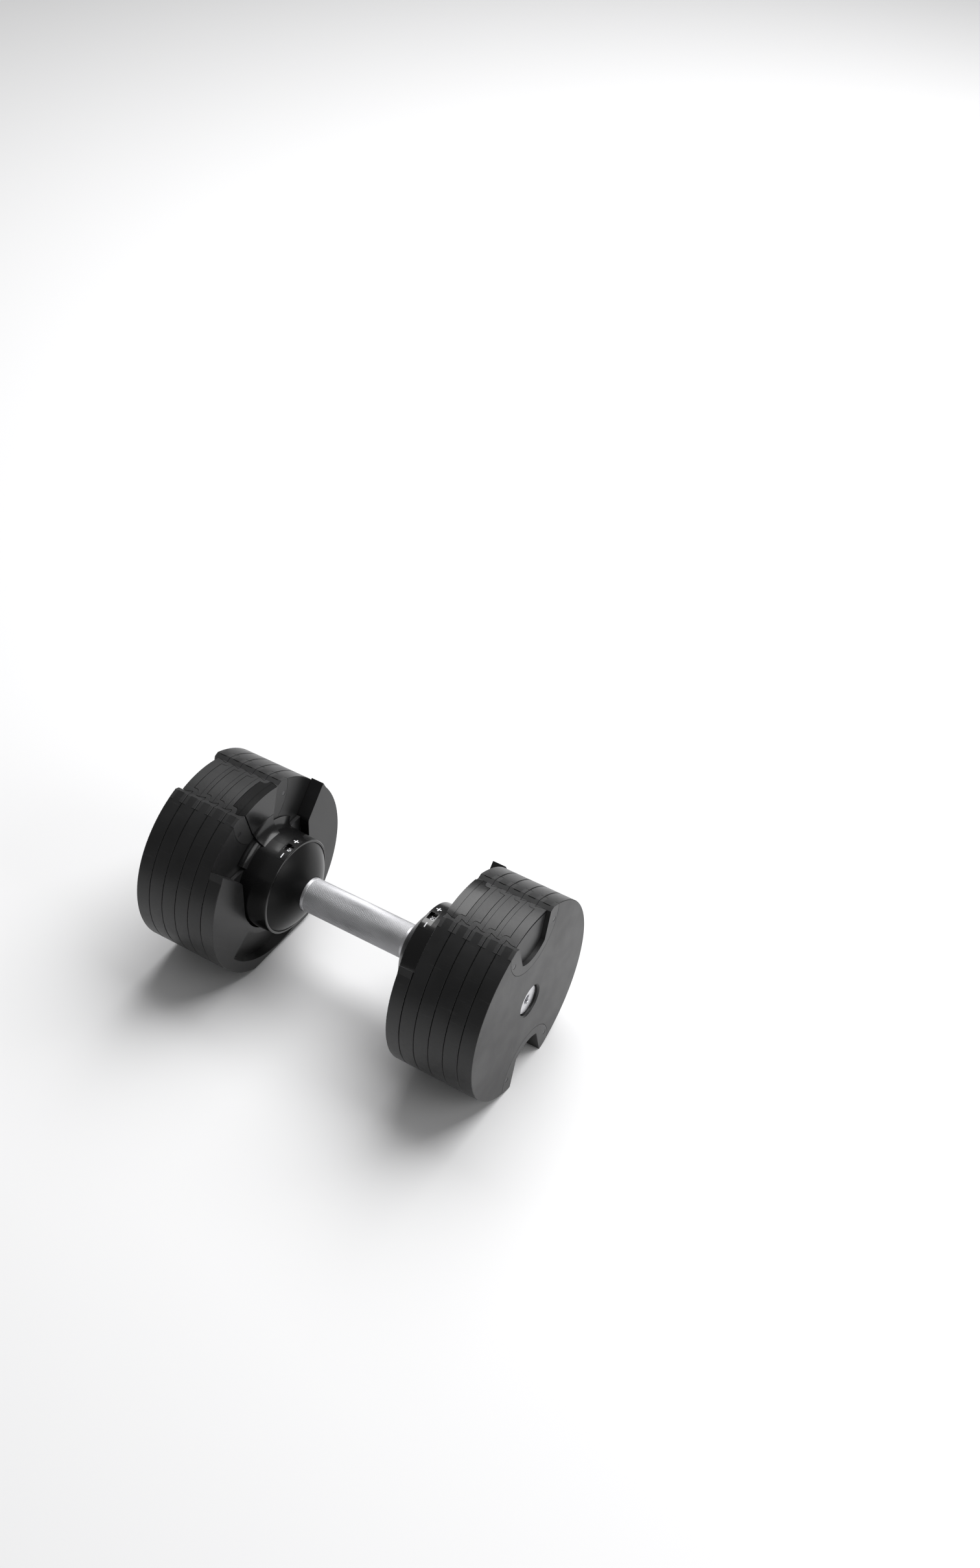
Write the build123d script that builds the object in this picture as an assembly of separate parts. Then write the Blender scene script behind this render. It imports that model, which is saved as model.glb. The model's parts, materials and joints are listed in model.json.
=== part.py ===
from build123d import *
import math
import os

# Adjustable dumbbell: ten weight plates that hook into each other, picked up by two selector
# rods that a turning grip drives in and out. All sizes are in millimetres.
#
# Everything is built about the grip axis, with X along the grip and Z up, for the right end.
# The left end is its mirror image. The parts are exported standing on the floor, at Z = 0.

# ---- Driving dimensions ------------------------------------------------------------------
# Grip
GRIP_LENGTH = 107.6          # visible between the two collar caps
GRIP_RADIUS = 16.0
SLEEVE_WALL = 1.7
# Collar, from the grip outwards
CAP_DEPTH = 15.8
CAP_WALL = 2.4
CAP_BULGE = 1.6
LIP_DEPTH = 0.6              # the drum's lip stands this far proud of the cap's rim
DRUM_RADIUS = 45.6
DRUM_LENGTH = 20.5           # from the lip to the inner face of the flange
DRUM_WALL = 2.2
FLARE_ANGLE = 44.0           # the drum flares outwards over this angle each side of the top
DRUM_DRAFT = 1.4             # the drum is this much wider at the flange than at the lip
BASE_WALL = 5.8
# Flange that sits in the storage cradle
FLANGE_THICKNESS = 13.0
FLANGE_WEB = 3.5
FLANGE_OPENING_ANGLE = 50.4  # from the top, each side
FLANGE_TAB = 1.4             # the two tips stand this far above the rim
FLANGE_CHORD_DROP = 9.5      # flat underside, below the rim
POCKET_RIM = 11.3            # material outside the flange's pocket
POCKET_HUB = 6.4             # material between the drum and the flange's pocket
POCKET_ANGLE = 57.0          # from the bottom, each side
# Weight plates
PLATES_PER_SIDE = 5
PLATE_RADIUS = 92.8
PLATE_THICKNESS = 13.7
PLATE_GAP = 0.4
PLATE_EDGE = 0.5
BORE_CHAMFER = 1.3
PLATE_RECESS = 0.9           # depth of the ring-shaped recess in a plate's hidden face
LIGHT_RECESS = 10.5          # the same in the innermost plate, which weighs half as much
RECESS_MARGIN = 8.0          # solid rim, hub and notch edge around the recess
# Moulded inserts, top and bottom of each plate
INSERT_RADIUS = 38.2
INSERT_DROP = 9.3            # centre of the insert's round outline, below the rim
INSERT_WALL = 4.0            # between the pocket and the plate's own web
INSERT_LEG = 3.45            # thickness of each of the two legs that straddle the web
INSERT_FIT = 0.35
POCKET_RADIUS = 29.9
POCKET_SLOPE = 15.3          # degrees from vertical
RECESS_DROP = 3.2            # the tongues' top surface, below the rim
RAMP_FOOT_HALF = 25.0        # half width where each ramp up to the rim starts
RAMP_TOP_HALF = 29.8
FOOT_DROP = 4.6              # flat feet on the bottom inserts, below the rim
# Tongue that hooks each plate to the next one
NECK_HALF = 23.2
FLARE_HALF = 25.5
WAIST_HALF = 19.3
FLARE_START = 6.0
FLARE_END = 9.2
WAIST_START = 11.6
TONGUE_REACH = 1.3           # past the next plate's outer face
TONGUE_FIT = 0.5
LAST_TONGUE = 10.0           # the outermost tongue ends inside its pocket
# Rivets through the inserts
RIVET_SIDE = 31.9
RIVET_DROP = 11.7            # below the insert's centre
RIVET_RADIUS = 1.2
RIVET_HEAD = 2.1
# Selector rods and the screw that drives them
ROD_WALL = 5.0
ROD_FIT = 0.5                # radial, in the plates
ROD_SETBACK = 2.8            # the rod's end lies this far inside the outermost plate
ROD_NUT = 10.0
ROD_CAP = 7.0
ROD_CAP_HEAD = 4.0
KEY_WIDTH = 6.0
KEY_DEPTH = 2.4
SCREW_RADIUS = 7.0
HUB_LENGTH = 16.0
HEX_KEY = 8.0
# Dial
DIAL_DEPTH = 3.6             # numbers lie this far below the drum's surface
DIAL_WIDTH = 9.0
DIAL_WALL = 3.2
WINDOW_WIDTH = 7.4           # along the grip
WINDOW_HALF_ANGLE = 5.4
WINDOW_INSET = 1.9           # from the lip to the window
BEZEL_HALF_ANGLE = 18.5
BEZEL_WIDTH = 9.4
BEZEL_THICKNESS = 1.2
DIAL_STEPS = 9
DIAL_STEP_ANGLE = 32.0
CLICK_WIDTH = 5.0
CLICK_THICKNESS = 0.5
# Lock
LOCK_RING_WALL = 6.0
LOCK_RING_WIDTH = 4.0
LOCK_TOOTH = 2.0
LOCK_TRAVEL = 4.0
LOCK_CLEAR = 0.6
LOCK_STEM = 9.0
YOKE_WALL = 6.0
# Bearings and fastenings
BUSH_LENGTH = 9.0
BUSH_WALL = 3.0
HUB_WALL = 3.5
SLEEVE_OVERRUN = 2.6         # the sleeve ends this far past the base wall's inner face
GUIDE_SEAT = 2.9             # depth of the rod guide in the base wall
GUIDE_WALL = 2.0
GROOVE_WIDTH = 1.3
GROOVE_DEPTH = 0.6
RETAINER_WIDTH = 1.1
RETAINER_HEIGHT = 2.2        # above the sleeve
SCREW_COUNT = 4
SCREW_CIRCLE_OUT = 11.0      # from the bush's outside to the screws
SCREW_SHANK_RADIUS = 2.0
SCREW_HEAD_RADIUS = 4.0
SCREW_HEAD = 2.1
WIRE_RADIUS = 0.4
SPRING_RADIUS = 2.6
SPRING_TURNS = 4
DIMPLE = 1.6
# Fits
SLIDE_FIT = 0.3
BUSH_FIT = 0.15
SEAT_FIT = 0.05

# ---- Places worked out from them, along X --------------------------------------------------
CAP_TIP = GRIP_LENGTH / 2
LIP = CAP_TIP + CAP_DEPTH - LIP_DEPTH
FLANGE_INNER = LIP + DRUM_LENGTH
FLANGE_OUTER = FLANGE_INNER + FLANGE_THICKNESS
BASE_OUTER = FLANGE_OUTER - FLANGE_WEB
BASE_INNER = BASE_OUTER - BASE_WALL
PITCH = PLATE_THICKNESS + PLATE_GAP
STACK_START = FLANGE_OUTER + PLATE_GAP
STACK_END = STACK_START + PLATES_PER_SIDE * PITCH - PLATE_GAP
ROD_END = STACK_END - ROD_SETBACK
ROD_TRAVEL = ROD_END - FLANGE_OUTER + SLIDE_FIT
SLEEVE_END = BASE_INNER + SLEEVE_OVERRUN
BUSH_END = SLEEVE_END - 0.5
BUSH_START = BUSH_END - BUSH_LENGTH
LOCK_RING_END = BUSH_START - 2.0
LOCK_RING_START = LOCK_RING_END - LOCK_RING_WIDTH
DIAL_START = LIP + WINDOW_INSET - (DIAL_WIDTH - WINDOW_WIDTH) / 2
ROD_START = SLEEVE_END - ROD_NUT
ROD_SHOULDER = ROD_END - ROD_CAP_HEAD
GUIDE_START = BASE_OUTER - GUIDE_SEAT
GUIDE_END = FLANGE_OUTER - SLIDE_FIT
DIAL_END = DIAL_START + DIAL_WIDTH

# Radii and heights worked out from them
INSERT_CENTRE = PLATE_RADIUS - INSERT_DROP
RECESS_RADIUS = PLATE_RADIUS - RECESS_DROP
FOOT_HEIGHT = PLATE_RADIUS - FOOT_DROP
DRUM_BASE_RADIUS = DRUM_RADIUS + DRUM_DRAFT
DRUM_BORE = DRUM_RADIUS - DRUM_WALL
DIAL_RADIUS = DRUM_RADIUS - DIAL_DEPTH
DIMPLE_RADIUS = DIAL_RADIUS - 10.0
SLEEVE_BORE = GRIP_RADIUS - SLEEVE_WALL
ROD_RADIUS = SLEEVE_BORE - SLIDE_FIT
ROD_BORE = ROD_RADIUS - ROD_WALL
PLATE_BORE = ROD_RADIUS + ROD_FIT
BUSH_RADIUS = GRIP_RADIUS + BUSH_FIT + BUSH_WALL
HUB_RADIUS = BUSH_RADIUS + HUB_WALL
GUIDE_RADIUS = BUSH_RADIUS + GUIDE_WALL
SCREW_CIRCLE = BUSH_RADIUS + SCREW_CIRCLE_OUT
POCKET_INNER = DRUM_BASE_RADIUS + POCKET_HUB
POCKET_OUTER = PLATE_RADIUS - POCKET_RIM
LOCK_RING_RADIUS = GRIP_RADIUS + LOCK_RING_WALL
YOKE_OPENING = LOCK_RING_RADIUS + LOCK_TOOTH + LOCK_CLEAR
YOKE_RADIUS = YOKE_OPENING + YOKE_WALL


# ---- Helpers -------------------------------------------------------------------------------
def section(x):
    """Plane across the grip axis; a sketch's x and y become the model's Y and Z."""
    return Plane.YZ.offset(x)


def across(sketch, x_start, x_end):
    """Extrude a cross-section from one place along the grip axis to another."""
    return extrude(section(x_start) * sketch, x_end - x_start, dir=(1, 0, 0))


def ring(x_start, x_end, outer, inner=0.0):
    """Round bar or tube about the grip axis."""
    sketch = Circle(outer) - Circle(inner) if inner else Circle(outer)
    return across(sketch, x_start, x_end)


def turned(*points):
    """Solid of revolution about the grip axis from (x, radius) points."""
    outline = make_face(Plane.XZ * Polyline(*points, close=True))
    return revolve(outline, Axis.X)


def sector(half_angle, radius, downward=False):
    """Wedge-shaped sketch about the upward or downward direction."""
    side = -radius if downward else radius
    reach = math.tan(math.radians(half_angle)) * radius
    return Polygon((0, 0), (reach, side), (-reach, side), align=None)


def wedge(half_width, extra=0.0):
    """Sketch between a pocket's sloping sides, half_width apart at the recess, on a straight stem."""
    slope = math.tan(math.radians(POCKET_SLOPE))
    top, bottom = RECESS_RADIUS + 20, INSERT_CENTRE - INSERT_RADIUS - 5
    wide = half_width + extra + (top - RECESS_RADIUS) * slope
    narrow = half_width + extra - (RECESS_RADIUS - bottom) * slope
    return Polygon((wide, top), (-wide, top), (-narrow, bottom), (-narrow, 0), (narrow, 0),
                   (narrow, bottom), align=None)


def pocket_sketch(extra=0.0):
    """Cross-section of the pocket in an insert, or of the same shape made larger."""
    return Pos(0, INSERT_CENTRE) * Circle(POCKET_RADIUS + extra) & wedge(FLARE_HALF, extra)


def tongue_block(half_outline, x_seam, fit=0.0):
    """Tongue with sloping sides from (distance past the seam, half width) points."""
    slope = math.tan(math.radians(POCKET_SLOPE))
    top, bottom = RECESS_RADIUS + 5, INSERT_CENTRE - POCKET_RADIUS - 1
    sides = []
    for height in (bottom, top):
        shift = (height - RECESS_RADIUS) * slope
        near = [(x_seam + s, w + fit + shift) for s, w in half_outline]
        far = [(x, -y) for x, y in reversed(near)]
        sides.append(Plane.XY.offset(height) * make_face(Polyline(*near, *far, close=True)))
    block = loft(sides, ruled=True)
    round_section = Pos(0, INSERT_CENTRE) * Circle(POCKET_RADIUS - TONGUE_FIT + fit)
    return block & across(round_section, x_seam - 5, x_seam + 2 * PITCH)


def tongue_outline(last):
    """Half outline of a tongue, seen from above; the last one stops short in its pocket."""
    hook = [(0, NECK_HALF), (FLARE_START, FLARE_HALF)]
    if last:
        return hook + [(LAST_TONGUE, FLARE_HALF)]
    long, wide = WAIST_START - FLARE_END, FLARE_HALF - WAIST_HALF
    bend = [(FLARE_END + along * long, FLARE_HALF - inward * wide)
            for along, inward in ((0, 0), (0.15, 0.5), (0.45, 0.83), (1, 1))]
    return hook + bend + [(PITCH + TONGUE_REACH, WAIST_HALF)]


def tongue(x_seam, last=False):
    """Tongue that hooks into the pocket of the plate beyond the seam."""
    solid = tongue_block(tongue_outline(last), x_seam) & ring(x_seam, STACK_END, RECESS_RADIUS)
    if last:
        lip_bottom = RECESS_RADIUS - 1.0
        end = x_seam + LAST_TONGUE
        return solid - ring(end - 1.5, end, lip_bottom, lip_bottom - 1.8)
    joint = x_seam + FLARE_START
    return solid - ring(joint, joint + 0.3, RECESS_RADIUS + 1, RECESS_RADIUS - 0.6)


def tongue_space(x_seam, last=False):
    """Room for the previous plate's tongue, with its clearance, open towards the grip."""
    outline = [(-5, NECK_HALF)] + tongue_outline(last)
    reach = outline[-1][0] + TONGUE_FIT if not last else 2 * PITCH
    outline[-1] = (reach, outline[-1][1])
    return tongue_block(outline, x_seam, TONGUE_FIT)


def seam(k):
    """X of the outer face of plate k; seam 0 is the outer face of the flange."""
    return FLANGE_OUTER + k * PITCH


# ---- Weight plates and their inserts ---------------------------------------------------------
def plate_blank(x):
    """Round disc with softened rim edges."""
    disc = ring(x, x + PLATE_THICKNESS, PLATE_RADIUS)
    return fillet(disc.edges().filter_by(GeomType.CIRCLE), PLATE_EDGE)


def clip(x, fit=0.0):
    """Insert before its pocket is cut: two legs and a core between them."""
    legs = Pos(0, INSERT_CENTRE) * Circle(INSERT_RADIUS + fit)
    core = pocket_sketch(INSERT_WALL + fit)
    return (across(legs, x, x + INSERT_LEG)
            + across(legs, x + PLATE_THICKNESS - INSERT_LEG, x + PLATE_THICKNESS)
            + across(core, x, x + PLATE_THICKNESS))


def rivet_places():
    height = INSERT_CENTRE - RIVET_DROP
    return [(side * RIVET_SIDE, end * height) for side in (1, -1) for end in (1, -1)]


def rivet(x, y, z):
    """Rivet with two flush heads, its heads a little below the insert's faces."""
    start, end = x + 0.2, x + PLATE_THICKNESS - 0.2
    place = Pos(y, z)
    return (across(place * Circle(RIVET_RADIUS), start, end)
            + across(place * Circle(RIVET_HEAD), start, start + 1.2)
            + across(place * Circle(RIVET_HEAD), end - 1.2, end))


def rivet_holes(x):
    """Holes and counterbores for one plate's rivets."""
    holes = []
    for y, z in rivet_places():
        place = Pos(y, z)
        holes.append(across(place * Circle(RIVET_RADIUS + SEAT_FIT), x - 1, x + PITCH))
        for start in (x - 1, x + PLATE_THICKNESS - 1.4):
            holes.append(across(place * Circle(RIVET_HEAD + 0.2), start, start + 2.4))
    return holes


def weight_plate(k):
    """Steel plate k, counted from the grip, with a recess in the face that its neighbour hides."""
    x = seam(k) - PLATE_THICKNESS
    body = plate_blank(x) - clip(x, INSERT_FIT) - mirror(clip(x, INSERT_FIT), Plane.XY)
    body -= ring(x - 1, x + PLATE_THICKNESS + 1, PLATE_BORE)
    wide = PLATE_BORE + BORE_CHAMFER
    for face, inner in ((x, x + BORE_CHAMFER), (seam(k), seam(k) - BORE_CHAMFER)):
        body -= turned((face, 0), (face, wide), (inner, PLATE_BORE), (inner, 0))
    for y, z in rivet_places():
        body -= across(Pos(y, z) * Circle(RIVET_RADIUS + SEAT_FIT), x - 1, seam(k) + 1)
    hollow = Circle(PLATE_RADIUS - RECESS_MARGIN) - Circle(PLATE_BORE + RECESS_MARGIN)
    for end in (1, -1):
        hollow -= Pos(0, end * INSERT_CENTRE) * Circle(INSERT_RADIUS + RECESS_MARGIN)
    if k == 1:
        return body - across(hollow, seam(k) - LIGHT_RECESS, seam(k))
    return body - across(hollow, x, x + PLATE_RECESS)


def recess_sketch():
    """What is cut from the rim above the tongues, with a ramp up to the rim on each side."""
    top = PLATE_RADIUS + 1
    foot_height = math.sqrt(RECESS_RADIUS ** 2 - RAMP_FOOT_HALF ** 2)
    ramp_height = math.sqrt(PLATE_RADIUS ** 2 - RAMP_TOP_HALF ** 2)
    half = [(RAMP_FOOT_HALF, foot_height), (RAMP_TOP_HALF, ramp_height), (RAMP_TOP_HALF, top)]
    return Polygon(*half, *[(-y, z) for y, z in reversed(half)], align=None) - Circle(RECESS_RADIUS)


def top_insert(k):
    """Insert in the plate's top notch: pocket for one tongue, and the next tongue."""
    x = seam(k) - PLATE_THICKNESS
    last = k == PLATES_PER_SIDE
    space = tongue_space(seam(k - 1), last)
    body = (clip(x) & plate_blank(x)) - across(recess_sketch(), x, seam(k))
    if not last:
        body += tongue(seam(k), k == PLATES_PER_SIDE - 1)
    body -= space
    for hole in rivet_holes(x):
        body -= hole
    return body


def bottom_insert(k):
    """Insert in the plate's bottom notch: open right through, with two flat feet."""
    x = seam(k) - PLATE_THICKNESS
    frame = (clip(x) & plate_blank(x)) - across(pocket_sketch(), x - 1, seam(k) + 1)
    frame = mirror(frame, Plane.XY)
    below = Box(4 * PITCH, 2 * PLATE_RADIUS, FOOT_DROP, align=(Align.CENTER, Align.CENTER, Align.MAX))
    frame -= Pos(x, 0, -FOOT_HEIGHT) * below
    for hole in rivet_holes(x):
        frame -= hole
    return frame


# ---- Collar ------------------------------------------------------------------------------------
def flare(reach, start):
    """Concave flare that grows out of the drum towards the innermost plate."""
    depth = FLANGE_OUTER - start
    drum = DRUM_BASE_RADIUS - 1
    outline = make_face(Plane.XZ * (
        Polyline((start, drum), (FLANGE_OUTER, drum), (FLANGE_OUTER, reach),
                 (FLANGE_OUTER - 0.6, reach))
        + TangentArc((FLANGE_OUTER - 0.6, reach), (start, drum), tangent=(-0.15 * depth, -reach))))
    return revolve(outline, Axis.X)


def screw_places():
    return PolarLocations(SCREW_CIRCLE, SCREW_COUNT, start_angle=45)


def housing():
    """Drum, base wall, bearing hub and the first tongue, cast in one piece."""
    drum = turned((LIP, DRUM_BORE), (LIP, DRUM_RADIUS - 0.5), (LIP + 0.5, DRUM_RADIUS),
                  (BASE_OUTER, DRUM_BASE_RADIUS), (BASE_OUTER, DRUM_BORE))
    base = ring(BASE_INNER, BASE_OUTER, DRUM_BORE + 1, SLEEVE_BORE)
    hub = ring(BUSH_START, BASE_INNER + 1, HUB_RADIUS, GRIP_RADIUS + 1)
    body = drum + base + hub
    body -= ring(BUSH_START - 1, SLEEVE_END, BUSH_RADIUS)
    body -= ring(GUIDE_START - 0.1, BASE_OUTER + 1, GUIDE_RADIUS)
    side = DRUM_BASE_RADIUS + SLIDE_FIT
    arch = Pos(0, side) * Rectangle(2 * side, 2 * side) & sector(FLARE_ANGLE, PLATE_RADIUS)
    low_flare = flare(DRUM_BASE_RADIUS + 8, FLANGE_OUTER - 8) & across(arch, LIP, FLANGE_OUTER)
    neck = wedge(NECK_HALF - 0.3) & Pos(0, RECESS_RADIUS / 2 + 20) * Rectangle(80, RECESS_RADIUS - 40)
    neck_top = INSERT_CENTRE - POCKET_RADIUS + 8
    high_flare = flare(neck_top, FLANGE_OUTER - 11) & across(neck, LIP, FLANGE_OUTER)
    body += low_flare + high_flare + tongue(seam(0))
    face = across(wedge(NECK_HALF) & Circle(RECESS_RADIUS), FLANGE_OUTER - 0.4, FLANGE_OUTER)
    body += face & across(Pos(0, INSERT_CENTRE) * Circle(POCKET_RADIUS), LIP, STACK_END)
    window = LIP + WINDOW_INSET
    body -= across(sector(WINDOW_HALF_ANGLE, 2 * DRUM_RADIUS), window, window + WINDOW_WIDTH)
    bezel_x = LIP + WINDOW_INSET - (BEZEL_WIDTH - WINDOW_WIDTH) / 2
    seat = DRUM_RADIUS - BEZEL_THICKNESS + 0.1
    body -= (ring(bezel_x, bezel_x + BEZEL_WIDTH, DRUM_RADIUS + 5, seat)
             & across(sector(BEZEL_HALF_ANGLE, 2 * DRUM_RADIUS), LIP, FLANGE_INNER))
    slot = Pos(0, -DRUM_RADIUS) * Rectangle(LOCK_STEM + 2 * SLIDE_FIT, DRUM_RADIUS)
    body -= across(slot, LOCK_RING_START - SLIDE_FIT, LOCK_RING_END + SLIDE_FIT)
    for place in screw_places():
        body -= across(place * Circle(SCREW_SHANK_RADIUS + 0.1), BASE_OUTER - 4, BASE_OUTER + 1)
    return body


def dial_bezel():
    """Curved trim around the dial window."""
    x = LIP + WINDOW_INSET - (BEZEL_WIDTH - WINDOW_WIDTH) / 2 + 0.1
    start = DRUM_RADIUS - BEZEL_THICKNESS + 0.1
    trim = ring(x, x + BEZEL_WIDTH - 0.2, DRUM_RADIUS + 0.35, start)
    trim &= across(sector(BEZEL_HALF_ANGLE - 0.2, 2 * DRUM_RADIUS), LIP, FLANGE_INNER)
    window = LIP + WINDOW_INSET
    return trim - across(sector(WINDOW_HALF_ANGLE, 2 * DRUM_RADIUS), window, window + WINDOW_WIDTH)


def collar_cap():
    """Domed cap that closes the drum around the grip."""
    outer = DRUM_BORE - 0.2
    hole = GRIP_RADIUS + SLIDE_FIT + 0.2
    rim = LIP + LIP_DEPTH
    tip = rim - CAP_DEPTH
    middle = ((tip + rim) / 2 - CAP_BULGE, (outer + hole) / 2)
    inside = (middle[0] + CAP_WALL, middle[1])
    outline = make_face(Plane.XZ * (
        ThreePointArc((tip, hole), middle, (rim, outer))
        + Line((rim, outer), (rim + 0.3, outer))
        + ThreePointArc((rim + 0.3, outer), (rim - 0.3, outer - 3), (rim - 1.5, outer - 5))
        + ThreePointArc((rim - 1.5, outer - 5), inside, (tip + CAP_WALL + 0.6, hole))
        + Line((tip + CAP_WALL + 0.6, hole), (tip, hole))))
    return revolve(outline, Axis.X)


def flange():
    """Cradle flange: thick shoe around the drum, open at the top, with a pocket below."""
    shoe = ring(FLANGE_INNER, FLANGE_OUTER, PLATE_RADIUS)
    shoe = fillet(shoe.edges().filter_by(GeomType.CIRCLE), PLATE_EDGE)
    angle = math.radians(FLANGE_OPENING_ANGLE)
    tip = (PLATE_RADIUS * math.sin(angle), PLATE_RADIUS * math.cos(angle))
    tab_top = PLATE_RADIUS + FLANGE_TAB
    tab_end = (tab_top * math.sin(angle), tab_top * math.cos(angle))
    tab_foot = (PLATE_RADIUS * math.sin(angle + 0.07), PLATE_RADIUS * math.cos(angle + 0.07))
    for side in (1, -1):
        tab = Polygon((side * tab_end[0], tab_end[1]), (side * tab_foot[0], tab_foot[1]),
                      (side * (tip[0] - 3), tip[1] - 3), align=None)
        shoe += across(tab, FLANGE_INNER, FLANGE_OUTER)
    side = DRUM_BASE_RADIUS + SLIDE_FIT + 1.0
    top = PLATE_RADIUS + 10
    out = top * math.tan(angle)
    corner = DRUM_BASE_RADIUS * math.cos(math.radians(FLARE_ANGLE)) - 1.3
    opening = Polygon((tab_end[0], tab_end[1]), (out, top), (-out, top), (-tab_end[0], tab_end[1]),
                      (-side, corner), (-side, 0), (side, 0), (side, corner), align=None)
    opening = fillet(opening.vertices().group_by(Axis.Y)[1], 6) + Circle(side)
    shoe -= across(opening, FLANGE_INNER - 1, BASE_OUTER)
    shoe -= across(opening & Pos(0, top / 2 + corner) * Rectangle(4 * top, top),
                   BASE_OUTER - 1, FLANGE_OUTER + 1)
    shoe -= ring(BASE_OUTER - 1, FLANGE_OUTER + 1, GUIDE_RADIUS + 0.5)
    pocket = Circle(POCKET_OUTER) - Circle(POCKET_INNER)
    pocket &= sector(POCKET_ANGLE, 2 * PLATE_RADIUS, downward=True)
    pocket = fillet(pocket.vertices(), 2)
    shoe -= across(pocket, FLANGE_INNER - 1, BASE_OUTER)
    chord = PLATE_RADIUS - FLANGE_CHORD_DROP
    below = Pos(0, -chord - 10) * Rectangle(2 * PLATE_RADIUS, 20)
    shoe -= across(below, FLANGE_INNER - 1, FLANGE_OUTER + 1)
    head_seat = FLANGE_OUTER - SLIDE_FIT - SCREW_HEAD - 0.1
    for place in screw_places():
        shoe -= across(place * Circle(SCREW_SHANK_RADIUS + 0.1), BASE_OUTER - 1, FLANGE_OUTER + 1)
        shoe -= across(place * Circle(SCREW_HEAD_RADIUS + 0.2), head_seat, FLANGE_OUTER + 1)
    return shoe


def flange_screws():
    """Four flat-headed screws that hold the flange on the housing, hidden by the plates."""
    top = FLANGE_OUTER - SLIDE_FIT
    screws = []
    for place in screw_places():
        shank = across(place * Circle(SCREW_SHANK_RADIUS), BASE_OUTER - 3.8, top)
        screws.append(shank + across(place * Circle(SCREW_HEAD_RADIUS), top - SCREW_HEAD, top))
    return screws


# ---- Bearings, rods and screw ---------------------------------------------------------------
def bearing_bush():
    return ring(BUSH_START, BUSH_END, BUSH_RADIUS - SEAT_FIT, GRIP_RADIUS + BUSH_FIT)


def rod_guide():
    """Ring in the housing's base, with a short key that keeps the rod from turning."""
    guide = ring(GUIDE_START, GUIDE_END, GUIDE_RADIUS - SEAT_FIT, ROD_RADIUS + SLIDE_FIT)
    key = Pos(0, -ROD_RADIUS) * Rectangle(KEY_WIDTH - 2 * SLIDE_FIT, KEY_DEPTH)
    return guide + across(key, GUIDE_START, ROD_SHOULDER - ROD_TRAVEL - SLIDE_FIT)


def selector_rod():
    """Hollow rod that carries the plates, with the drive nut at its inner end."""
    rod = ring(ROD_START, ROD_SHOULDER, ROD_RADIUS, ROD_BORE)
    rod += ring(ROD_START, ROD_START + ROD_NUT, ROD_BORE + 0.5, SCREW_RADIUS + SLIDE_FIT)
    key = Pos(0, -ROD_RADIUS) * Rectangle(KEY_WIDTH, 2 * KEY_DEPTH + 2 * SLIDE_FIT)
    return rod - across(key, ROD_START - 1, ROD_SHOULDER + 1)


def rod_end_cap():
    """Plug in the rod's outer end, with a hexagon socket."""
    head = ring(ROD_SHOULDER, ROD_END, ROD_RADIUS)
    head = chamfer(head.edges().filter_by(GeomType.CIRCLE).sort_by(Axis.X)[-1], 0.8)
    plug = head + ring(ROD_END - ROD_CAP, ROD_SHOULDER, ROD_BORE - SEAT_FIT)
    socket = RegularPolygon(HEX_KEY / 2, 6, major_radius=False)
    plug -= across(socket, ROD_END - 4.5, ROD_END + 1)
    return plug - turned((ROD_END, 0), (ROD_END, HEX_KEY / 2 + 1.2), (ROD_END - 1.0, HEX_KEY / 2),
                         (ROD_END - 1.0, 0))


def grip_sleeve():
    """Knurled tube that the hand turns."""
    tube = ring(-SLEEVE_END, SLEEVE_END, GRIP_RADIUS, SLEEVE_BORE)
    groove_start = LOCK_RING_END + 0.2
    for x in (groove_start, -groove_start - GROOVE_WIDTH):
        tube -= ring(x, x + GROOVE_WIDTH, GRIP_RADIUS + 1, GRIP_RADIUS - GROOVE_DEPTH)
    return tube


def drive_screw():
    """Spindle with a hub pressed into the middle of the sleeve."""
    reach = ROD_START + ROD_NUT - 3.0
    hub = ring(-HUB_LENGTH / 2, HUB_LENGTH / 2, SLEEVE_BORE - SEAT_FIT)
    spindle = ring(-reach, reach, SCREW_RADIUS)
    ends = spindle.edges().filter_by(GeomType.CIRCLE)
    return hub + chamfer(ends, 1.0)


def retaining_rings():
    """Two spring rings in the sleeve's grooves, beside the lock rings."""
    place = LOCK_RING_END + 0.3
    one = ring(place, place + RETAINER_WIDTH, GRIP_RADIUS + RETAINER_HEIGHT,
               GRIP_RADIUS - GROOVE_DEPTH + 0.2)
    gap = Pos(0, GRIP_RADIUS) * Rectangle(4, 2 * GRIP_RADIUS)
    one -= across(gap, place - 1, place + 2)
    return [one, mirror(one, Plane.YZ)]


def dial_ring():
    """Number ring seen through the window, with its web and hub on the sleeve."""
    body = ring(DIAL_START, DIAL_END, DIAL_RADIUS, DIAL_RADIUS - DIAL_WALL)
    body += ring(DIAL_END - 2.4, DIAL_END, DIAL_RADIUS - 1, GRIP_RADIUS + 2)
    body += ring(DIAL_END - 4.5, LOCK_RING_START, GRIP_RADIUS + 5, GRIP_RADIUS + SEAT_FIT)
    for step in range(DIAL_STEPS + 1):
        dimple = Rot(0, 0, 180 - step * DIAL_STEP_ANGLE) * Pos(DIMPLE_RADIUS, 0) * Circle(DIMPLE)
        body -= across(dimple, DIAL_END - DIMPLE / 2, DIAL_END)
    return body


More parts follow.
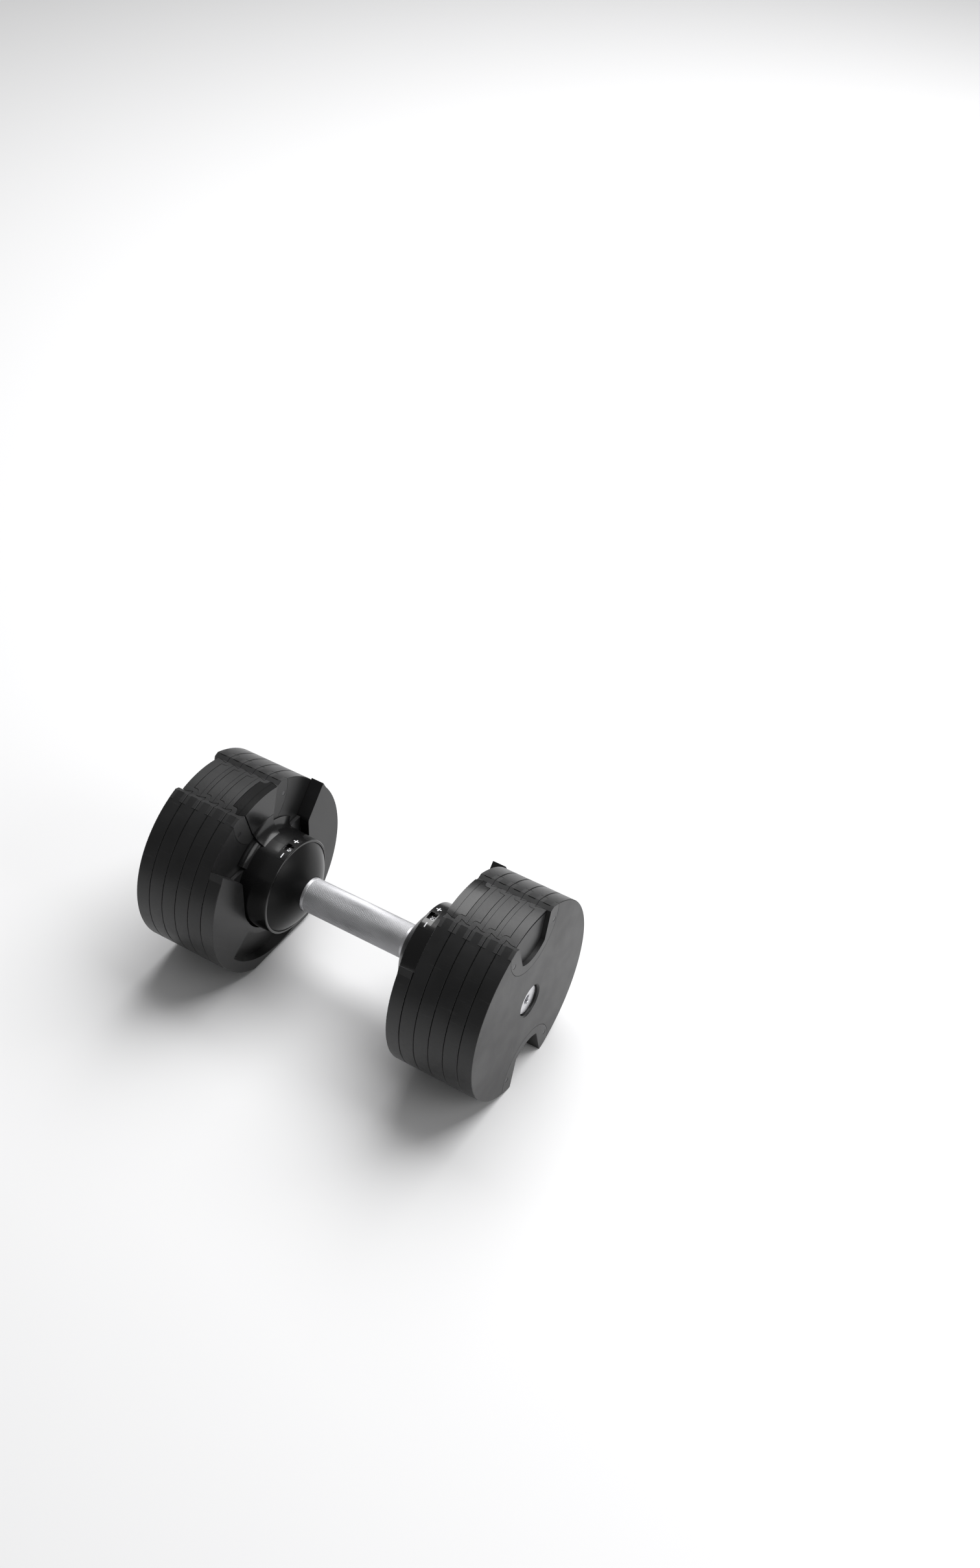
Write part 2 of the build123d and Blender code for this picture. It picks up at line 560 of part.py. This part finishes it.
def lock_ring():
    """Toothed ring on the sleeve, one tooth space for each weight setting."""
    body = ring(LOCK_RING_START, LOCK_RING_END, LOCK_RING_RADIUS + LOCK_TOOTH,
                GRIP_RADIUS + SEAT_FIT)
    for step in range(DIAL_STEPS + 1):
        turn = Rot(0, 0, 90 - step * DIAL_STEP_ANGLE)
        space = Pos(LOCK_RING_RADIUS + LOCK_TOOTH, 0) * Rectangle(2 * LOCK_TOOTH, 5.0)
        body -= across(turn * space, LOCK_RING_START, LOCK_RING_END)
    return body


def lock_slide():
    """Sliding plate around the lock ring; the cradle pushes its foot up to free the grip."""
    start, end = LOCK_RING_START + 0.4, LOCK_RING_END - 0.4
    frame = Circle(YOKE_RADIUS)
    frame += Pos(0, -LOCK_TRAVEL) * Circle(YOKE_RADIUS)
    frame += Rectangle(2 * YOKE_RADIUS, LOCK_TRAVEL)
    foot = POCKET_INNER + 3.5
    stem_top = YOKE_OPENING + 3
    frame += Pos(0, -(foot + stem_top) / 2) * Rectangle(LOCK_STEM, foot - stem_top)
    frame -= Circle(YOKE_OPENING) + Pos(0, -LOCK_TRAVEL) * Circle(YOKE_OPENING)
    frame -= Pos(0, -LOCK_TRAVEL / 2) * Rectangle(2 * YOKE_OPENING, LOCK_TRAVEL)
    frame += Pos(0, YOKE_OPENING + 0.35) * Rectangle(4.0, 1.2)
    return across(frame, start, end)


def lock_spring():
    """Spring between the lock slide and the roof of the drum."""
    bottom = YOKE_RADIUS + 0.1 + WIRE_RADIUS
    height = DRUM_BORE - 0.6 - WIRE_RADIUS - bottom
    path = Helix(pitch=height / SPRING_TURNS, height=height, radius=SPRING_RADIUS)
    coil = sweep(Plane(path @ 0, z_dir=path % 0) * Circle(WIRE_RADIUS), path=path)
    return Pos((LOCK_RING_START + LOCK_RING_END) / 2, 0, bottom) * coil


def click_springs():
    """Leaf springs on the drum's wall that rest by the dial rings' dimples and give the clicks."""
    start = DIAL_END + SLIDE_FIT
    tip, foot = DIMPLE_RADIUS - CLICK_WIDTH / 2, DRUM_BORE - 0.15
    leaf = Pos(-(tip + foot) / 2, 0) * Rectangle(foot - tip, CLICK_WIDTH)
    tab = Pos(-foot + CLICK_THICKNESS / 2, 0) * Rectangle(CLICK_THICKNESS, CLICK_WIDTH)
    one = across(leaf, start, start + CLICK_THICKNESS) + across(tab, start, start + CLICK_WIDTH)
    return [one, mirror(one, Plane.YZ)]


# ---- Export -----------------------------------------------------------------------------------
def standing(shape):
    """Move a part from the grip axis to its height above the floor."""
    return Pos(0, 0, FOOT_HEIGHT) * shape


def save(name, shape):
    """Write one node; a list of solids becomes one node."""
    if isinstance(shape, list):
        shape = Compound(children=list(shape))
    export_step(standing(shape), f"parts/{name}.step")


def end_parts():
    """Every part of the right-hand end, by name."""
    parts = {
        "housing": housing(),
        "dial_bezel": dial_bezel(),
        "collar_cap": collar_cap(),
        "flange": flange(),
        "bearing_bush": bearing_bush(),
        "rod_guide": rod_guide(),
        "selector_rod": selector_rod(),
        "rod_end_cap": rod_end_cap(),
        "dial_ring": dial_ring(),
        "lock_ring": lock_ring(),
        "lock_slide": lock_slide(),
        "lock_spring": lock_spring(),
    }
    for k in range(1, PLATES_PER_SIDE + 1):
        parts[f"weight_plate_{k}"] = weight_plate(k)
        parts[f"top_insert_{k}"] = top_insert(k)
        parts[f"bottom_insert_{k}"] = bottom_insert(k)
    return parts


def main():
    os.makedirs("parts", exist_ok=True)
    for name, shape in end_parts().items():
        save(f"right_{name}", shape)
        save(f"left_{name}", mirror(shape, Plane.YZ))
    rivets = [rivet(seam(k) - PLATE_THICKNESS, y, z)
              for k in range(1, PLATES_PER_SIDE + 1) for y, z in rivet_places()]
    screws = flange_screws()
    save("insert_rivets", rivets + [mirror(r, Plane.YZ) for r in rivets])
    save("flange_screws", screws + [mirror(s, Plane.YZ) for s in screws])
    save("grip_sleeve", grip_sleeve())
    save("drive_screw", drive_screw())
    save("retaining_rings", retaining_rings())
    save("click_springs", click_springs())


main()
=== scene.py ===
import json
import math

import bmesh
import bpy
from mathutils import Matrix, Vector


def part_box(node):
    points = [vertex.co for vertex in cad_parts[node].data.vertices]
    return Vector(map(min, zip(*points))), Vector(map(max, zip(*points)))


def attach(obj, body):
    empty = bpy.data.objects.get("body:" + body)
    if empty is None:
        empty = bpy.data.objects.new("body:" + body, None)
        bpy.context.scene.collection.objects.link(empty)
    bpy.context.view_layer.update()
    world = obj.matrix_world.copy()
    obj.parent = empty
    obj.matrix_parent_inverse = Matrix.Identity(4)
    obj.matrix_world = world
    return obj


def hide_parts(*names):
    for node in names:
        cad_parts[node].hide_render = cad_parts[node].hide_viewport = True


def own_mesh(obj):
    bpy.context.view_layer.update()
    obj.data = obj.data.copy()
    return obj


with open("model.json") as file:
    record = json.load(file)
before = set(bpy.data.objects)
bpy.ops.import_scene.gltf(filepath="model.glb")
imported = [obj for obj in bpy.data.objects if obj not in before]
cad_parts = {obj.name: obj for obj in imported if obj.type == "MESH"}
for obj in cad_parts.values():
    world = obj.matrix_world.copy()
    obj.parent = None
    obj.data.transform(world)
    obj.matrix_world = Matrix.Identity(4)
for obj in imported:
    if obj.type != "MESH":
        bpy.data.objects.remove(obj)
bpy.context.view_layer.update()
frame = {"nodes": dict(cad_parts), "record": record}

# An adjustable dumbbell on a pale floor. The imported CAD parts keep their shapes and get procedural
# materials. The knurled grip is remade as a mesh, the lock springs are copies with their own meshes,
# and the dials' numbers and the plus and minus marks are added. Lengths are in metres.

MM = 0.001
SIDES = {"right": 1.0, "left": -1.0}


def middle(node_name):
    low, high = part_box(node_name)
    return (low + high) / 2


AXIS_HEIGHT = middle("grip_sleeve").z
GRIP_RADIUS = (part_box("grip_sleeve")[1].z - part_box("grip_sleeve")[0].z) / 2
CAP_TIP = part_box("right_collar_cap")[0].x


def add_object(name, data):
    """Object with this data, linked into the scene."""
    made = bpy.data.objects.new(name, data)
    bpy.context.scene.collection.objects.link(made)
    return made


# ---- Camera ------------------------------------------------------------------------------------
CAMERA_AZIMUTH = 31.61       # degrees from the front towards the right-hand end
CAMERA_ELEVATION = 45.46     # degrees
CAMERA_DISTANCE = 1.5083     # along the view, to the middle of the grip
CAMERA_RIGHT = 0.1138        # from the middle of the grip, across the picture
CAMERA_UP = 0.1176           # from the middle of the grip, up the picture
GRIP_ROLL = 4.2              # degrees about the grip, between the camera's frame and the floor's
FOCAL_LENGTH = 39.5          # mm, for the sensor below on the picture's long side
SENSOR_SIZE = 36             # mm
CLIP_END = 50


def make_camera():
    """Camera at the photograph's viewing angle, placed from the middle of the grip."""
    azimuth, elevation = math.radians(CAMERA_AZIMUTH), math.radians(CAMERA_ELEVATION)
    right = Vector((math.cos(azimuth), math.sin(azimuth), 0))
    back = Vector((math.sin(azimuth) * math.cos(elevation),
                   -math.cos(azimuth) * math.cos(elevation), math.sin(elevation)))
    up = back.cross(right)
    place = right * CAMERA_RIGHT + up * CAMERA_UP + back * CAMERA_DISTANCE
    turn = Matrix((right, up, back)).transposed().to_4x4()
    roll = Matrix.Rotation(math.radians(GRIP_ROLL), 4, "X")
    data = bpy.data.cameras.new("camera")
    data.lens = FOCAL_LENGTH
    data.sensor_width = SENSOR_SIZE
    data.clip_end = CLIP_END
    camera = add_object("camera", data)
    grip_middle = Matrix.Translation((0, 0, AXIS_HEIGHT))
    camera.matrix_world = grip_middle @ roll @ Matrix.Translation(place) @ turn
    bpy.context.scene.camera = camera


make_camera()


# ---- Floor and light ---------------------------------------------------------------------------
FLOOR_HALF = 12.0
FLOOR_COLOUR = (0.84, 0.84, 0.845)
FLOOR_ROUGHNESS = 0.9
WORLD_STRENGTH = 0.2
LIGHTS = {                   # place, target, size, power
    "top_softbox": ((0.3, 1.5, 2.4), (0, 0.1, 0), (3.0, 2.4), 118),
    "right_softbox": ((2.2, 0.1, 1.2), (0.1, 0, 0.1), (1.2, 1.4), 13),
}


def new_material(name):
    """Node material and its Principled shader."""
    material = bpy.data.materials.new(name)
    material.use_nodes = True
    return material, material.node_tree.nodes["Principled BSDF"]


def area_light(name, place, target, size, power):
    """Rectangular softbox at a place, facing a target."""
    data = bpy.data.lights.new(name, "AREA")
    data.shape = "RECTANGLE"
    data.size, data.size_y = size
    data.energy = power
    lamp = add_object(name, data)
    lamp.location = place
    lamp.rotation_euler = (Vector(target) - Vector(place)).to_track_quat("-Z", "Y").to_euler()


def make_stage():
    """Pale floor, pale surroundings and soft studio lights."""
    mesh = bpy.data.meshes.new("floor")
    corners = ((-1, -1), (1, -1), (1, 1), (-1, 1))
    mesh.from_pydata([(x * FLOOR_HALF, y * FLOOR_HALF, 0) for x, y in corners], [], [(0, 1, 2, 3)])
    floor = add_object("floor", mesh)
    material, shader = new_material("floor")
    shader.inputs["Base Color"].default_value = (*FLOOR_COLOUR, 1)
    shader.inputs["Roughness"].default_value = FLOOR_ROUGHNESS
    mesh.materials.append(material)
    world = bpy.data.worlds.new("studio")
    bpy.context.scene.world = world
    world.use_nodes = True
    background = world.node_tree.nodes["Background"]
    background.inputs["Color"].default_value = (1, 1, 1, 1)
    background.inputs["Strength"].default_value = WORLD_STRENGTH
    for name, light in LIGHTS.items():
        area_light(name, *light)
    bpy.context.scene.view_settings.view_transform = "Standard"


make_stage()


# ---- Materials ---------------------------------------------------------------------------------
GRAIN_DEPTH = 0.0002
GRAINS_PER_BLOTCH = 45
BLOTCH_LOW, BLOTCH_HIGH = 0.3, 0.7   # the part of the noise's range that is used
COAT_ROUGHNESS = 0.06
RUB_SCALE = 34.0
RUB_TURN = (0.5, 0.9, 0.3)
RUB_STRETCH = (1, 14, 1)
RUB_START, RUB_FULL = 0.60, 0.78     # where rub marks begin and are strongest in their noise
RUB_GREY = (0.09, 0.09, 0.092)
KNURL_COUNT = 84             # diamonds around the grip
KNURL_DEPTH = 0.24 * MM
# painted shade at the bottom of the knurl's grooves, fading out towards their points
GROOVE_PAINTED_SHADE = 0.5           # of the steel's colour, at the bottom of a groove
GROOVE_SHARE = 0.8           # of the depth, over which the shade fades out
TURNING_SCALE = 420.0
TURNING_DEPTH = 0.0001


def grey(value):
    return (value, value, value * 1.03)


def node(material, kind, **settings):
    """Add a shader node and set its inputs by name."""
    made = material.node_tree.nodes.new(kind)
    for name, value in settings.items():
        made.inputs[name.replace("_", " ")].default_value = value
    return made


def object_place(material):
    return node(material, "ShaderNodeTexCoord").outputs["Object"]


def ramp(material, source, stops):
    """Colour ramp over a socket from (position, colour) stops."""
    made = material.node_tree.nodes.new("ShaderNodeValToRGB")
    for element, (position, colour) in zip(made.color_ramp.elements, stops):
        element.position = position
        element.color = (*colour, 1)
    material.node_tree.links.new(source, made.inputs["Fac"])
    return made.outputs["Color"]


def mix(material, blend, **sources):
    """Mix of two colours; each source is a socket to link or a value to set."""
    made = material.node_tree.nodes.new("ShaderNodeMix")
    made.data_type = "RGBA"
    made.blend_type = blend
    sockets = {socket.identifier: socket for socket in made.inputs}
    for name, source in sources.items():
        if isinstance(source, bpy.types.NodeSocket):
            material.node_tree.links.new(source, sockets[name])
        else:
            sockets[name].default_value = source
    results = {socket.identifier: socket for socket in made.outputs}
    return results["Result_Color"]


def bump(material, height, strength, depth):
    """Bump node over a height socket."""
    made = node(material, "ShaderNodeBump", Strength=strength, Distance=depth)
    material.node_tree.links.new(height, made.inputs["Height"])
    return made


def surface(name, dark, light, roughness, spread, grain, relief, metallic=0.0, specular=0.5,
            coat=0.0, scuff=0.0, scuff_colour=RUB_GREY):
    """Material with fine grain, blotchy roughness and colour, and a few faint rub marks."""
    material, shader = new_material(name)
    link = material.node_tree.links.new
    shader.inputs["Metallic"].default_value = metallic
    shader.inputs["Specular IOR Level"].default_value = specular
    shader.inputs["Coat Weight"].default_value = coat
    shader.inputs["Coat Roughness"].default_value = COAT_ROUGHNESS
    place = object_place(material)
    fine = node(material, "ShaderNodeTexNoise", Scale=grain, Detail=3.0)
    link(place, fine.inputs["Vector"])
    bumps = bump(material, fine.outputs["Fac"], relief, GRAIN_DEPTH)
    link(bumps.outputs["Normal"], shader.inputs["Normal"])
    blotch = node(material, "ShaderNodeTexNoise", Scale=grain / GRAINS_PER_BLOTCH, Detail=5.0)
    link(place, blotch.inputs["Vector"])
    rough = node(material, "ShaderNodeMapRange", From_Min=BLOTCH_LOW, From_Max=BLOTCH_HIGH,
                 To_Min=roughness - spread, To_Max=roughness + spread)
    link(blotch.outputs["Fac"], rough.inputs["Value"])
    link(rough.outputs["Result"], shader.inputs["Roughness"])
    colour = ramp(material, blotch.outputs["Fac"], ((BLOTCH_LOW, dark), (BLOTCH_HIGH, light)))
    if scuff:
        turn = node(material, "ShaderNodeMapping", Rotation=RUB_TURN, Scale=RUB_STRETCH)
        link(place, turn.inputs["Vector"])
        rub = node(material, "ShaderNodeTexNoise", Scale=RUB_SCALE, Detail=8.0, Roughness=0.7)
        link(turn.outputs["Vector"], rub.inputs["Vector"])
        mask = ramp(material, rub.outputs["Fac"],
                    ((RUB_START, (0, 0, 0)), (RUB_FULL, (scuff,) * 3)))
        colour = mix(material, "MIX", Factor_Float=mask, A_Color=colour,
                     B_Color=(*scuff_colour, 1))
    link(colour, shader.inputs["Base Color"])
    return material


def vector_math(material, operation, source, by=None):
    """Vector maths node over a socket, with an optional constant."""
    made = material.node_tree.nodes.new("ShaderNodeVectorMath")
    made.operation = operation
    material.node_tree.links.new(source, made.inputs[0])
    if by:
        made.inputs[1].default_value = by
    return made


def knurl_steel(name):
    """Satin steel with painted shade in the knurl's grooves, darker there than on its points."""
    material = surface(name, grey(0.52), grey(0.62), 0.46, 0.04, 2600, 0.1, metallic=1.0)
    link = material.node_tree.links.new
    colour = material.node_tree.nodes["Principled BSDF"].inputs["Base Color"]
    steel = colour.links[0].from_socket
    from_axis = vector_math(material, "SUBTRACT", object_place(material), (0, 0, AXIS_HEIGHT))
    across = vector_math(material, "MULTIPLY", from_axis.outputs["Vector"], (0, 1, 1))
    radius = vector_math(material, "LENGTH", across.outputs["Vector"])
    height = node(material, "ShaderNodeMapRange", From_Min=GRIP_RADIUS - KNURL_DEPTH,
                  From_Max=GRIP_RADIUS)
    link(radius.outputs["Value"], height.inputs["Value"])
    # painted shade: the steel's colour darkens towards the bottom of each knurl groove
    shade = ramp(material, height.outputs["Result"],
                 ((0.0, (GROOVE_PAINTED_SHADE,) * 3), (GROOVE_SHARE, (1.0,) * 3)))
    link(mix(material, "MULTIPLY", Factor_Float=1.0, A_Color=steel, B_Color=shade), colour)
    return material


def turned_steel(name):
    """Bright steel with fine turning rings about the grip axis."""
    material = surface(name, grey(0.62), grey(0.7), 0.3, 0.05, 1500, 0.08, metallic=1.0)
    link = material.node_tree.links.new
    normal = material.node_tree.nodes["Principled BSDF"].inputs["Normal"]
    grain = normal.links[0].from_node
    centre = node(material, "ShaderNodeMapping", Location=(0, 0, -AXIS_HEIGHT))
    link(object_place(material), centre.inputs["Vector"])
    rings = node(material, "ShaderNodeTexWave", Scale=TURNING_SCALE, Distortion=0.6, Detail=2.0)
    rings.wave_type = "RINGS"
    rings.rings_direction = "X"
    link(centre.outputs["Vector"], rings.inputs["Vector"])
    marks = bump(material, rings.outputs["Fac"], 0.12, TURNING_DEPTH)
    link(grain.outputs["Normal"], marks.inputs["Normal"])
    link(marks.outputs["Normal"], normal)
    return material


MATERIALS = {
    "plate_satin": surface("plate_satin", grey(0.011), grey(0.016), 0.37, 0.05, 1700, 0.3,
                           specular=0.36, scuff=0.35),
    "insert_nylon": surface("insert_nylon", grey(0.014), grey(0.021), 0.40, 0.05, 1300, 0.4,
                            specular=0.5, scuff=0.2),
    "flange_satin": surface("flange_satin", grey(0.011), grey(0.016), 0.34, 0.04, 1700, 0.2,
                            specular=0.4, scuff=0.3),
    "collar_gloss": surface("collar_gloss", grey(0.004), grey(0.006), 0.22, 0.03, 500, 0.03,
                            specular=0.4, coat=0.1, scuff=0.12),
    "cap_gloss": surface("cap_gloss", grey(0.004), grey(0.006), 0.33, 0.03, 500, 0.03,
                         specular=0.22, scuff=0.12),
    "bezel_gloss": surface("bezel_gloss", grey(0.006), grey(0.008), 0.14, 0.02, 500, 0.02,
                           specular=0.5, coat=0.4, scuff=0.1),
    "dial_black": surface("dial_black", grey(0.003), grey(0.005), 0.55, 0.05, 1200, 0.1,
                          specular=0.3, scuff=0.1),
    "guide_nylon": surface("guide_nylon", (0.60, 0.58, 0.53), (0.7, 0.69, 0.64), 0.5, 0.05, 700,
                           0.1, scuff=0.2, scuff_colour=(0.45, 0.44, 0.4)),
    "bush_bronze": surface("bush_bronze", (0.5, 0.33, 0.16), (0.56, 0.38, 0.2), 0.35, 0.06, 900,
                           0.1, metallic=1.0),
    "rod_steel": surface("rod_steel", grey(0.5), grey(0.57), 0.27, 0.05, 1400, 0.1, metallic=1.0,
                         scuff=0.3, scuff_colour=(0.35, 0.35, 0.36)),
    "rod_cap_steel": turned_steel("rod_cap_steel"),
    "lock_steel": surface("lock_steel", grey(0.4), grey(0.46), 0.38, 0.06, 1000, 0.15,
                          metallic=1.0, scuff=0.3, scuff_colour=(0.25, 0.25, 0.26)),
    "spring_steel": surface("spring_steel", grey(0.42), grey(0.5), 0.3, 0.05, 1000, 0.1,
                            metallic=1.0),
    "rivet_steel": surface("rivet_steel", grey(0.09), grey(0.13), 0.36, 0.05, 1500, 0.15,
                           metallic=1.0),
    "grip_steel": knurl_steel("grip_steel"),
    "mark_white": surface("mark_white", grey(0.78), grey(0.85), 0.5, 0.04, 1500, 0.05),
}


def finish_cad_nodes():
    """Give every CAD node the material of its slot."""
    for part in frame["record"]["subparts"]:
        cad = frame["nodes"][part["node"]]
        material = MATERIALS[part["material_slot"]]
        if not cad.material_slots:
            cad.data.materials.append(material)
        for place in cad.material_slots:
            place.material = material


finish_cad_nodes()


def new_piece(name, mesh, body, material):
    """Link a mesh as a piece that rides on a body."""
    piece = add_object(name, mesh)
    mesh.materials.append(material)
    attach(piece, body)
    return piece


# ---- Grip --------------------------------------------------------------------------------------
STEPS_PER_DIAMOND = 4
KNURL_BAND = 2.8 * MM        # plain band at each end of the knurl
KNURL_RUN_OUT = 0.3 * MM     # over which the knurl fades into the band
SLEEVE_WALL = 1.7 * MM


def around_axis(x, radius, angle):
    """Point at a distance from the grip axis; the angle is from the top, towards the back."""
    return (x, radius * math.sin(angle), AXIS_HEIGHT + radius * math.cos(angle))


def make_grip():
    """Tube with a diamond knurl between two plain bands."""
    low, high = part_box("grip_sleeve")
    around = KNURL_COUNT * STEPS_PER_DIAMOND
    pitch = 2 * math.pi * GRIP_RADIUS / KNURL_COUNT
    knurl_end = CAP_TIP - KNURL_BAND
    count = int(2 * knurl_end / (pitch / STEPS_PER_DIAMOND))
    rows = [(low.x, 0.0), (-knurl_end - KNURL_RUN_OUT, 0.0)]
    rows += [(-knurl_end + 2 * knurl_end * i / count, 1.0) for i in range(count + 1)]
    rows += [(knurl_end + KNURL_RUN_OUT, 0.0), (high.x, 0.0)]
    verts, faces = [], []
    for x, knurled in rows:
        for j in range(around):
            along = x / pitch
            across = j / STEPS_PER_DIAMOND
            first = abs(((along + across) % 1.0) - 0.5) * 2
            second = abs(((along - across) % 1.0) - 0.5) * 2
            groove = 1.0 - min(first, second)
            radius = GRIP_RADIUS - knurled * KNURL_DEPTH * groove
            verts.append(around_axis(x, radius, 2 * math.pi * j / around))
    for x in (low.x, high.x):
        for j in range(around):
            verts.append(around_axis(x, GRIP_RADIUS - SLEEVE_WALL, 2 * math.pi * j / around))
    for i in range(len(rows) - 1):
        for j in range(around):
            k = (j + 1) % around
            a, b = i * around, (i + 1) * around
            faces.append((a + j, a + k, b + k, b + j))
    last = (len(rows) - 1) * around
    inner_low, inner_high = last + around, last + 2 * around
    for j in range(around):
        k = (j + 1) % around
        faces.append((j, inner_low + j, inner_low + k, k))
        faces.append((last + j, last + k, inner_high + k, inner_high + j))
        faces.append((inner_low + j, inner_high + j, inner_high + k, inner_low + k))
    mesh = bpy.data.meshes.new("knurled_grip")
    mesh.from_pydata(verts, [], faces)
    mesh.update()
    piece = new_piece("knurled_grip", mesh, "grip", MATERIALS["grip_steel"])
    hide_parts("grip_sleeve")


make_grip()


def make_springs():
    """Copies of the lock springs, each with its own mesh, riding on the frame."""
    for side_name in SIDES:
        node_name = f"{side_name}_lock_spring"
        cad = frame["nodes"][node_name]
        mesh = cad.data.copy()
        mesh.transform(cad.matrix_world)
        mesh.materials.clear()
        spring = new_piece(f"{side_name}_coil_spring", mesh, "frame",
                           MATERIALS["spring_steel"])
        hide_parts(node_name)
        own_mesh(spring)


make_springs()


# ---- Dial numbers and marks --------------------------------------------------------------------
DIAL_STEP = math.radians(32)
DIAL_NUMBERS = range(50, 0, -5)
DIGIT_HEIGHT = 4.2 * MM
DIGIT_WEIGHT = 0.02          # stroke thickening, in the font's own units
DIGIT_SMOOTHNESS = 4
NUMBER_LEAD = math.radians(1.6)      # numbers sit past the window's middle, seen over its edge
PRINT_THICKNESS = 0.06 * MM
MARK_LENGTH = 5.0 * MM
MARK_WIDTH = 1.0 * MM
MARK_ANGLE = math.radians(13.0)
MARK_CUTS = 8                # so that a bar bends smoothly


def text_mesh(words):
    """Flat mesh of a few characters, centred, one digit height tall."""
    curve = bpy.data.curves.new("text", "FONT")
    curve.body = words
    curve.align_x, curve.align_y = "CENTER", "CENTER"
    curve.resolution_u = DIGIT_SMOOTHNESS
    curve.offset = DIGIT_WEIGHT
    maker = add_object("text", curve)
    bpy.context.view_layer.update()
    mesh = bpy.data.meshes.new_from_object(maker)
    bpy.data.objects.remove(maker)
    xs = [v.co.x for v in mesh.vertices]
    ys = [v.co.y for v in mesh.vertices]
    centre = Vector(((min(xs) + max(xs)) / 2, (min(ys) + max(ys)) / 2, 0))
    scale = DIGIT_HEIGHT / (max(ys) - min(ys))
    for v in mesh.vertices:
        v.co = (v.co - centre) * scale
    return mesh


def bar_mesh(*bars):
    """Flat mesh of centred bars, each (half length, half width)."""
    work = bmesh.new()
    for half_length, half_width in bars:
        lower, upper = [], []
        for i in range(MARK_CUTS + 1):
            across = -half_length + 2 * half_length * i / MARK_CUTS
            lower.append(work.verts.new((across, -half_width, 0)))
            upper.append(work.verts.new((across, half_width, 0)))
        for i in range(MARK_CUTS):
            work.faces.new((lower[i], lower[i + 1], upper[i + 1], upper[i]))
    mesh = bpy.data.meshes.new("bars")
    work.to_mesh(mesh)
    return mesh


def wrap(name, flat, side, x, radius, angle, body):
    """Bend a flat mesh round the grip axis and give it a printed thickness."""
    work = bmesh.new()
    work.from_mesh(flat)
    bmesh.ops.subdivide_edges(work, edges=work.edges[:], cuts=1)
    bmesh.ops.triangulate(work, faces=work.faces[:])
    for v in work.verts:
        v.co = Vector(around_axis(x + side * v.co.y, radius, angle - side * v.co.x / radius))
    shell = bmesh.ops.extrude_face_region(work, geom=work.faces[:])
    for item in shell["geom"]:
        if isinstance(item, bmesh.types.BMVert):
            away = Vector((0, item.co.y, item.co.z - AXIS_HEIGHT)).normalized()
            item.co += away * PRINT_THICKNESS
    bmesh.ops.recalc_face_normals(work, faces=work.faces[:])
    mesh = bpy.data.meshes.new(name)
    work.to_mesh(mesh)
    new_piece(name, mesh, body, MATERIALS["mark_white"])


def make_dials():
    """Numbers on each dial ring, and a minus and a plus on each bezel."""
    for side_name, side in SIDES.items():
        low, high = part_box(f"{side_name}_dial_ring")
        window = middle(f"{side_name}_dial_bezel").x
        dial_radius = (high.y - low.y) / 2
        for step, number in enumerate(DIAL_NUMBERS):
            wrap(f"{side_name}_number_{number}", text_mesh(str(number)), side, window,
                 dial_radius, step * DIAL_STEP + NUMBER_LEAD, "grip")
        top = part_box(f"{side_name}_dial_bezel")[1].z - AXIS_HEIGHT
        bar = (MARK_LENGTH / 2, MARK_WIDTH / 2)
        arm = (MARK_WIDTH / 2, MARK_LENGTH / 2)
        wrap(f"{side_name}_minus", bar_mesh(bar), side, window, top, -MARK_ANGLE, "frame")
        wrap(f"{side_name}_plus", bar_mesh(bar, arm), side, window, top, MARK_ANGLE, "frame")


make_dials()
